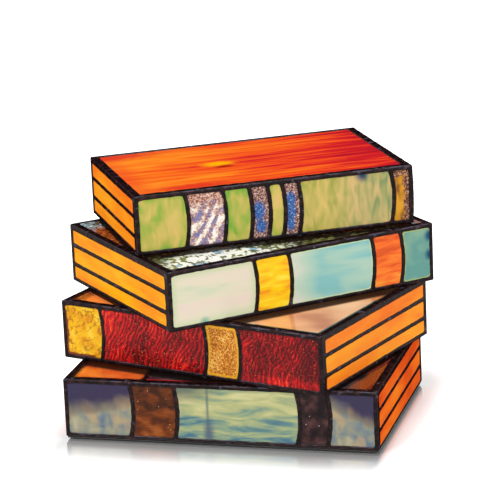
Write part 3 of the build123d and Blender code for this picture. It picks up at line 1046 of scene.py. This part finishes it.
def cover_peach(s):
    """Smooth glossy glass, with copper foil along the left end."""
    colour = s.ramp(s.noise(0.05, (1.5, 1.0)), (0.36, "c47244"), (0.50, "e69e6a"), (0.64, "f4b888"))
    colour = s.mix(s.slope(s.u, 0.34, 0.16), colour, "ee803a")
    grain = s.noise(0.0018, more=2, detail=3, rough=0.7)
    brown = s.ramp(grain, (0.36, "3a180e"), (0.54, "8c3e1e"), (0.72, "d6804c"))
    colour = s.mix(s.slope(s.u + grain * 0.05, 0.080, 0.050), colour, brown)
    cut_edge = s.slope(s.rim, 0.0028, 0.0014) * s.slope(s.u, 0.5, 0.6)
    s.polished(s.mix(cut_edge, colour, "324c3e"), 0.5, 0.5, 0.06, 0.35)


def opal_blue(s, middle, lean):
    """Opal cream with blue-grey clouds, and a painted purple shadow from the cover above, at the top and
    lower down to one side.
    """
    cloud = s.noise(0.014, (1.3, 1.0), swirl=0.9)
    fall = s.noise(0.010, (0.8, 2.2), 4, detail=1, swirl=0.6)
    base = s.ramp(cloud * 0.6 + fall * 0.4, (0.34, "6a788a"), (0.44, "868e86"), (0.53, "9c9882"),
                  (0.68, "bcb294"))
    warm = s.slope(s.noise(0.017, more=7, detail=1), 0.48, 0.62)
    base = s.mix(warm * 0.6, base, "c4a678")
    # Painted shadow of the cover: darker and purple from the top down, lower on one side
    level = s.v + (cloud - 0.5) * 0.3 + (s.u - middle) * lean
    base = s.mix(s.slope(level, 0.38, 0.52) * 0.5, base, "6a544a")
    colour = s.mix(s.slope(level, 0.46, 0.76), base, "3a3250")
    s.finish(colour, cloud, 0.0003, rim=0.8, glow=0.55)


def rust_seedy(s):
    cloud = s.noise(0.0095, (1.3, 0.9), detail=1.5, swirl=0.5)
    level = cloud * 0.75 + s.noise(0.0022, (2.4, 0.8), 4) * 0.25 + (0.5 - s.v) * 0.20
    colour = s.ramp(level, (0.34, "401e0e"), (0.47, "622e11"), (0.60, "823e14"), (0.74, "a45824"))
    # Painted glints on the seeds
    colour = s.mix(s.slope(s.cells(0.0058, 1), 0.10, 0.05), colour, "c4a882")
    s.finish(colour, cloud, 0.0005, gloss=(0.12, 0.12, 0.12), glow=0.5)


def opal_green(s):
    """Pale green opal with wind-blown teal and blue streaks low down, and painted shadows: an upright one
    with a dark blue pool at its foot, and one in the top left corner.
    """
    streak = s.noise(0.0076, (5.0, 1.0), detail=3, rough=0.52, swirl=0.8)
    fade = s.slope(s.v + (s.noise(0.03, more=3) - 0.5) * 0.7, 0.75, 0.25)
    colour = s.ramp(streak + 0.10 - fade * 0.16, (0.32, "4c7488"), (0.41, "729286"), (0.50, "98a882"),
                    (0.60, "b6b880"), (0.76, "d2cc94"))
    # Painted shadows: an upright line, a dark blue pool at its foot, and the top left corner
    colour = s.marked(colour, s.u, s.v, 0.75, (
        ((0.265, 0.72), (0.011, 0.44), 0.2, 0.65, "426670"),
        ((0.270, 0.10), (0.040, 0.28), 0.6, 0.75, "344e76"),
        ((0.0, 1.0), (0.27, 0.22), 0.3, 0.80, "58625e")))
    s.finish(colour, streak, 0.0004, rim=0.85, glow=0.58)


def purple_seedy(s):
    cloud = s.noise(0.009)
    colour = s.ramp(cloud, (0.36, "1e1216"), (0.52, "382222"), (0.70, "5c3c3a"))
    # Painted glints on the seeds
    colour = s.mix(s.slope(s.cells(0.0050, 1), 0.12, 0.06), colour, "c8bec8")
    s.finish(colour, cloud, 0.0005, gloss=(0.12, 0.12, 0.12), glow=0.45)


def cover_orange(s):
    colour = s.ramp(s.noise(0.03, (1.4, 1.0)), (0.36, "c44616"), (0.50, "e66624"), (0.66, "f48236"))
    grain = s.noise(0.0016, more=2, detail=3, rough=0.7)
    brown = s.ramp(grain, (0.36, "42180a"), (0.54, "aa461a"), (0.72, "e88c46"))
    ragged = s.slope(s.rim + (grain - 0.5) * 0.003, 0.0030, 0.0010)
    s.polished(s.mix(ragged, colour, brown), 0.5, 0.45, 0.08, 0.25)


def cover_grey(s):
    """Dark blue-grey glass that turns orange-brown at its right end."""
    cloud = s.noise(0.03, (1.5, 1.0))
    colour = s.ramp(cloud, (0.36, "1a1a22"), (0.52, "2c2e38"), (0.70, "4c4e54"))
    colour = s.mix(s.slope(s.u + cloud * 0.16, 0.97, 1.06), colour, "843e1e")
    grain = s.noise(0.0016, more=2, detail=3, rough=0.7)
    brown = s.ramp(grain, (0.36, "3c120a"), (0.54, "8c321a"), (0.72, "c86842"))
    colour = s.mix(s.slope(s.u + grain * 0.04, 0.955, 0.985), colour, brown)
    front_red = s.slope(s.up, 0.0125, 0.0090) * s.slope(s.u, 0.50, 0.42)
    s.polished(s.mix(front_red, colour, "ce2216"), 0.35, 0.5, 0.07, 0.25)


BLUE_FIRST = (((0.5, 0.52), (0.44, 0.20)), ((0.62, 0.22), (0.36, 0.13)))
BLUE_SECOND = (((0.5, 0.66), (0.40, 0.16)), ((0.5, 0.44), (0.40, 0.16)), ((0.46, 0.20), (0.36, 0.14)))

# Each pane's look, relief, seed and slot, and what its look takes
SPINE_LOOKS = {
    "top": (
        (green_mottled, "rolled", 1, "glass_green_mottled", 0.03),
        (clear_iridescent, "diagonal", 2, "glass_clear_iridescent"),
        (green_mottled, "rolled", 3, "glass_green_mottled", -0.03),
        (blue_textured, "granular", 4, "glass_blue_textured", *BLUE_FIRST),
        (green_mottled, "rolled", 5, "glass_green_mottled", 0.0),
        (blue_textured, "granular", 6, "glass_blue_textured", *BLUE_SECOND),
        (green_long, "rolled", 7, "glass_green_mottled"),
        (amber_textured, "granular", 8, "glass_amber_textured"),
    ),
    "third": (
        (cream, "rolled", 11, "glass_cream"),
        (yellow, "rolled", 12, "glass_yellow"),
        (aqua, "rolled", 13, "glass_aqua"),
        (orange, "rolled", 14, "glass_orange"),
        (teal, "rolled", 15, "glass_teal"),
    ),
    "second": (
        (amber_crackled, "crackled", 21, "glass_amber_crackled"),
        (red_ripple, "rippled", 22, "glass_red_ripple"),
        (amber_seedy, "granular", 23, "glass_amber_crackled"),
        (red_ripple, "rippled", 24, "glass_red_ripple", 0.07),
    ),
    "bottom": (
        (opal_blue, "rolled", 31, "glass_opal_blue", 0.5, -0.24),
        (rust_seedy, "seedy", 32, "glass_rust_seedy"),
        (opal_green, "rolled", 33, "glass_opal_green"),
        (purple_seedy, "seedy", 34, "glass_purple_seedy"),
        (opal_blue, "rolled", 35, "glass_opal_blue", 0.70, 0.42),
    ),
}
COVER_LOOKS = {
    "bottom": (
        (cover_orange, "rolled", 41, "glass_cover_orange"),
        (cover_grey, "rolled", 42, "glass_cover_grey"),
    ),
    "second": ((cover_peach, "rolled", 43, "glass_cover_peach"),),
    "third": ((cover_hammered, "hammered", 44, "glass_hammered"),),
    "top": ((cover_red, "rolled", 45, "glass_cover_red"),),
}
PAGE_LOOKS = {
    "bottom": (page_glass, "rolled", 51, "glass_pages_orange", *DEEP_PAGES),
    "second": (page_glass, "rolled", 54, "glass_pages_orange", *ORANGE_PAGES),
    "third": (page_glass, "rolled", 57, "glass_pages_yellow", *YELLOW_PAGES),
    "top": (page_glass, "rolled", 60, "glass_pages_orange", *ORANGE_PAGES),
}


def glass_depths(book, wall, node):
    """Depths of the CAD glass's outer and inner faces under the wall's outer plane."""
    through, sign = WALLS[wall][2:]
    depths = book.points(node)[:, through]
    if sign > 0:
        depths = book.size[through] - depths
    return float(depths.min()), float(depths.max())


def glass_piece(book, wall, node, panes, values, offset=0):
    """Builds one glass piece in place of its CAD node."""
    look, relief_name, seed, slot, *extra = values
    seed += offset
    relief, steps = RELIEFS[relief_name]
    name = node + "_glass"
    glass = GlassFinish(name, wall, panes[0], seed)
    hole = None
    if wall == "cover" and book.name != "top":
        order = list(BOOK_VALUES)
        # Painted shade on the cover where the next book up rests
        glass.contact = glass.shade_under_book(book, order[order.index(book.name) + 1])
        if panes[0].low[0] < book.along < panes[0].high[0]:
            hole = (book.along, book.across, well_radius + well_rim - foil_lap)
    look(glass, *extra)
    front, back = glass_depths(book, wall, node)
    slabs = [glass_slab(book, wall, pane, front, back, steps, lambda a, u: relief(a, u, seed), hole)
             for pane in panes]
    piece = glass_object(name, book, wall, slabs, glass.material)
    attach(piece, "stack")
    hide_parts(node)


def solder_finish():
    """Near-black patina with a brown and purple tint, lighter in places on the crests, part worn patina and
    part painted highlight, and with painted highlights along the edges that face front and up.
    """
    s = Finish("solder_patina")
    tint = s.noise(0.006, more=1, detail=3, rough=0.6)
    colour = s.ramp(tint, (0.34, "0e090a"), (0.50, "1c1012"), (0.62, "301a1c"), (0.76, "482624"))
    stroke = s.slope(s.noise(0.0046, (1.9, 1.9, 1.6), 9, detail=2.5, rough=0.6), 0.60, 0.70)
    crest = s.slope(s.mesh_value("depth"), 0.00050, 0.00010)
    # Painted highlight: light strokes where the surface faces front and up
    normal = s.add("TexCoord", {}, "Normal")
    edge = s.add("VectorMath", {0: normal, 1: (0, -0.707, 0.707)}, "Value", operation="DOT_PRODUCT")
    long_stroke = s.slope(s.noise(0.0042, (3.2, 1.0, 1.0), 12, rough=0.6), 0.46, 0.60)
    # Worn patina and painted highlight on the crests, painted highlight on the front top edges
    wear_and_highlight = s.math("MAXIMUM", crest * stroke, s.slope(edge, 0.86, 0.97) * long_stroke)
    s.set(Base_Color=s.mix(wear_and_highlight * 0.6, colour, "5c586a"))
    fine = s.noise(0.0012, more=4, detail=3, rough=0.6)
    s.gloss(0.14, s.between(fine, 0.14, 0.38))
    s.bump(fine, 0.00022)
    return s.material


def build_books():
    patina = solder_finish()
    for name in BOOK_VALUES:
        book = Book(name)
        solder_piece(book, patina)
        for wall, looks in (("spine", SPINE_LOOKS[name]), ("cover", COVER_LOOKS[name])):
            for (node, pane), values in zip(book.walls[wall], looks):
                glass_piece(book, wall, node, [pane], values)
        for offset, wall in enumerate(("left", "right", "back")):
            panes = [pane for _, pane in book.walls[wall]]
            glass_piece(book, wall, book.walls[wall][0][0], panes, PAGE_LOOKS[name], offset)
        for node, pane in book.walls["underside"]:
            look, _, seed, _ = COVER_LOOKS[name][0]
            under = GlassFinish(node + "_finish", "underside", pane, seed + 20)
            look(under)
            paint(node, under.material)


# Base, lamp holder and bulb keep their CAD shapes

def paint(node, material):
    mesh = frame["nodes"][node].data
    mesh.materials.clear()
    mesh.materials.append(material)


def worn_metal(name, dark, light, roughness):
    s = Finish(name)
    stain = s.noise(0.004, more=2, detail=3, rough=0.6)
    s.set(Base_Color=s.ramp(stain, (0.35, dark), (0.65, light)), Metallic=1.0,
          Roughness=s.between(stain, roughness * 0.8, roughness * 1.3))
    s.bump(s.noise(0.0008, more=5), 0.00008)
    return s.material


def base_paint():
    """Black stoved paint with a fine orange-peel surface."""
    s = Finish("base_paint")
    dust = s.noise(0.03, more=5, detail=4, rough=0.6)
    s.set(Base_Color=s.ramp(dust, (0.35, "141314"), (0.7, "282524")), Roughness=0.38)
    s.bump(s.noise(0.0016, more=3), 0.00018)
    return s.material


def moulded(name, dark, light, roughness):
    s = Finish(name)
    speck = s.noise(0.0009, more=4, detail=3, rough=0.7)
    s.set(Base_Color=s.ramp(speck, (0.4, dark), (0.7, light)), Roughness=roughness)
    s.bump(speck, 0.00006)
    return s.material


def clear_glass():
    s = Finish("bulb_clear_glass")
    wave = s.noise(0.01, more=1)
    s.set(Base_Color=s.ramp(wave, (0.3, "fffaf0"), (0.7, "fffffc")), Roughness=0.02, IOR=1.45,
          Transmission_Weight=1.0, Alpha=0.35)
    s.bump(wave, 0.0001)
    return s.material


def filament():
    s = Finish("filament_glow")
    heat = s.ramp(s.noise(0.004, more=1, detail=1), (0.3, "e87824"), (0.7, "faa842"))
    s.set(Base_Color="5a544e", Metallic=0.8, Roughness=0.3, Emission_Color=heat,
          Emission_Strength=0.8)
    return s.material


def felt_finish():
    s = Finish("felt_pile")
    pile = s.noise(0.0007, more=2, detail=4, rough=0.8)
    share = pile * 0.7 + s.noise(0.02, more=3) * 0.3
    s.set(Base_Color=s.ramp(share, (0.35, "0c0c0e"), (0.65, "28272a")), Roughness=0.95,
          Sheen_Weight=0.4, Specular_IOR_Level=0.1)
    s.bump(pile, 0.0004)
    return s.material


felt_corner = 0.006
felt_corner_steps = 12
felt_edge = 0.0006
felt_fray = 0.00015
frays_per_metre = 900


def felt_sheet():
    """The felt pad: a soft rounded edge that is a little frayed."""
    low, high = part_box("felt_pad")
    levels = ((low.z, felt_edge), (low.z + felt_edge, 0.0), (high.z - felt_edge, 0.0), (high.z, felt_edge))
    vertices, outline = [], []
    for corner_x, corner_y, start in ((1, 1, 0), (-1, 1, 90), (-1, -1, 180), (1, -1, 270)):
        centre = Vector(((high.x if corner_x > 0 else low.x) - corner_x * felt_corner,
                         (high.y if corner_y > 0 else low.y) - corner_y * felt_corner))
        for step in range(felt_corner_steps + 1):
            turn = math.radians(start + 90 * step / felt_corner_steps)
            outline.append((centre, Vector((math.cos(turn), math.sin(turn)))))
    for level, inset in levels:
        for centre, direction in outline:
            corner = Vector((*(centre + direction * felt_corner), level))
            frayed = felt_fray * abs(noise.noise(corner * frays_per_metre))
            spot = centre + direction * (felt_corner - inset - frayed)
            vertices.append((spot.x, spot.y, level))
    count = len(outline)
    faces = skin(0, len(levels), count)
    walls = len(faces)
    faces += [tuple(reversed(range(count))), tuple(range(walls, walls + count))]
    pad = add_object("felt_sheet", None, vertices, faces, felt_finish(), walls)
    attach(pad, "base")
    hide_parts("felt_pad")


def build_base():
    felt_sheet()
    paint("base_tray", base_paint())
    paint("cord_bush", moulded("black_nylon", "0e0e0f", "222224", 0.5))
    brass = worn_metal("brass_plain", "966c30", "cea65c", 0.3)
    for node in ("threaded_tube", "tube_nuts", "holder_screw_shell", "holder_centre_contact"):
        paint(node, brass)
    paint("lamp_holder_body", moulded("phenolic", "0e0b0a", "201a18", 0.3))
    paint("bulb_cap", worn_metal("rolled_cap", "96948e", "d6d2c8", 0.28))
    paint("bulb_glass", clear_glass())
    paint("bulb_filament", filament())


# Stage

look_azimuth = 15.243
look_elevation = 15.921
look_distance = 2.3736
look_roll = -2.505
lens = 200.05
target_right = 0.00790
target_height = 0.14533


def add_camera():
    azimuth, elevation = math.radians(look_azimuth), math.radians(look_elevation)
    right = Vector((math.cos(azimuth), math.sin(azimuth), 0))
    look = Vector((-math.sin(azimuth) * math.cos(elevation), math.cos(azimuth) * math.cos(elevation),
                   -math.sin(elevation)))
    target = right * target_right + Vector((0, 0, target_height))
    data = bpy.data.cameras.new("camera")
    data.lens = lens
    data.sensor_width = 36.0
    data.clip_start = 0.05
    data.clip_end = 50.0
    camera = linked("camera", data)
    turn = look.to_track_quat("-Z", "Y").to_matrix().to_4x4()
    roll = Matrix.Rotation(math.radians(look_roll), 4, "Z")
    camera.matrix_world = Matrix.Translation(target - look * look_distance) @ turn @ roll
    bpy.context.scene.camera = camera


light_aim = (0, 0, 0.1)
# Name, place, size and power of each light
LIGHTS = (
    ("key", (-1.1, -1.9, 1.9), 1.2, 26),
    ("fill", (1.9, -1.2, 1.1), 1.4, 14),
    ("above", (0.1, 0.5, 2.2), 1.4, 12),
    ("glint", (-0.5, -1.7, 1.1), 0.22, 3.0),
)


def add_light(name, place, size, power):
    data = bpy.data.lights.new(name, "AREA")
    data.shape = "DISK"
    data.size = size
    data.energy = power
    light = linked(name, data)
    light.location = place
    light.rotation_euler = (Vector(light_aim) - Vector(place)).to_track_quat("-Z", "Y").to_euler()


ambient = 0.55


def add_world():
    """White where it is seen itself, in a mirror or through glass, and dimmer as a light."""
    world = bpy.data.worlds.new("studio")
    bpy.context.scene.world = world
    world.use_nodes = True
    nodes = Nodes(world.node_tree)
    shade = nodes.tree.nodes["Background"]
    shade.inputs["Color"].default_value = (1, 1, 1, 1)
    seen = nodes.add("LightPath", {}, "Is Camera Ray")
    for ray in ("Is Glossy Ray", "Is Transmission Ray"):
        seen = nodes.math("MAXIMUM", seen, nodes.add("LightPath", {}, ray))
    nodes.put(shade.inputs["Strength"], nodes.between(seen, ambient, 1.0))


floor_size = 6.0
floor_tone = (0.86, 0.86, 0.86, 1)
# How much the floor glows by itself near the object, and how far off it starts to turn pure white
floor_lift = 0.22
white_near = 0.010
white_far = 0.085
side_weight = 1.8
mirror_share = 0.8
mirror_reach = 0.070
side_mirror_reach = 0.008
mirror_fade = 1.25


def add_floor():
    """White floor that keeps the shadow and, close to the object, a mirror image that fades out."""
    half = floor_size / 2
    corners = [(-half, -half, 0), (half, -half, 0), (half, half, 0), (-half, half, 0)]
    s = Finish("floor_white")
    floor = add_object("floor", None, corners, [(0, 1, 2, 3)], s.material, 0)
    s.set(Base_Color=floor_tone, Roughness=0.6, Specular_IOR_Level=0.0, Emission_Color=(1, 1, 1, 1))
    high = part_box("bottom_solder")[1]
    squares, reaches = [], []
    sides = ((s.x, high.x, side_mirror_reach, side_weight), (s.y, high.y, mirror_reach, 1.0))
    for value, edge, reach, weight in sides:
        over = s.math("MAXIMUM", s.math("ABSOLUTE", value) - edge, 0.0)
        squares.append(s.math("POWER", over * weight, 2.0))
        reaches.append(s.math("POWER", over / reach, 2.0))
    far = s.slope(s.math("SQRT", s.math("ADD", *squares)), white_near, white_far)
    camera_ray = s.add("LightPath", {}, "Is Camera Ray")
    s.set(Emission_Strength=camera_ray * (far * (1 - floor_lift) + floor_lift))
    fade = s.slope(s.math("SQRT", s.math("ADD", *reaches)), 1.0, 0.0, "LINEAR")
    share = s.math("POWER", fade, mirror_fade) * mirror_share
    mirror = s.add("BsdfAnisotropic", {"Roughness": 0.02})
    both = s.add("MixShader", {0: share, 1: Signal(s, s.shader.outputs[0]), 2: mirror})
    s.put(s.tree.nodes["Material Output"].inputs["Surface"], both)


build_books()
build_base()
add_camera()
add_world()
add_floor()
for light in LIGHTS:
    add_light(*light)
bpy.context.scene.view_settings.view_transform = "Standard"
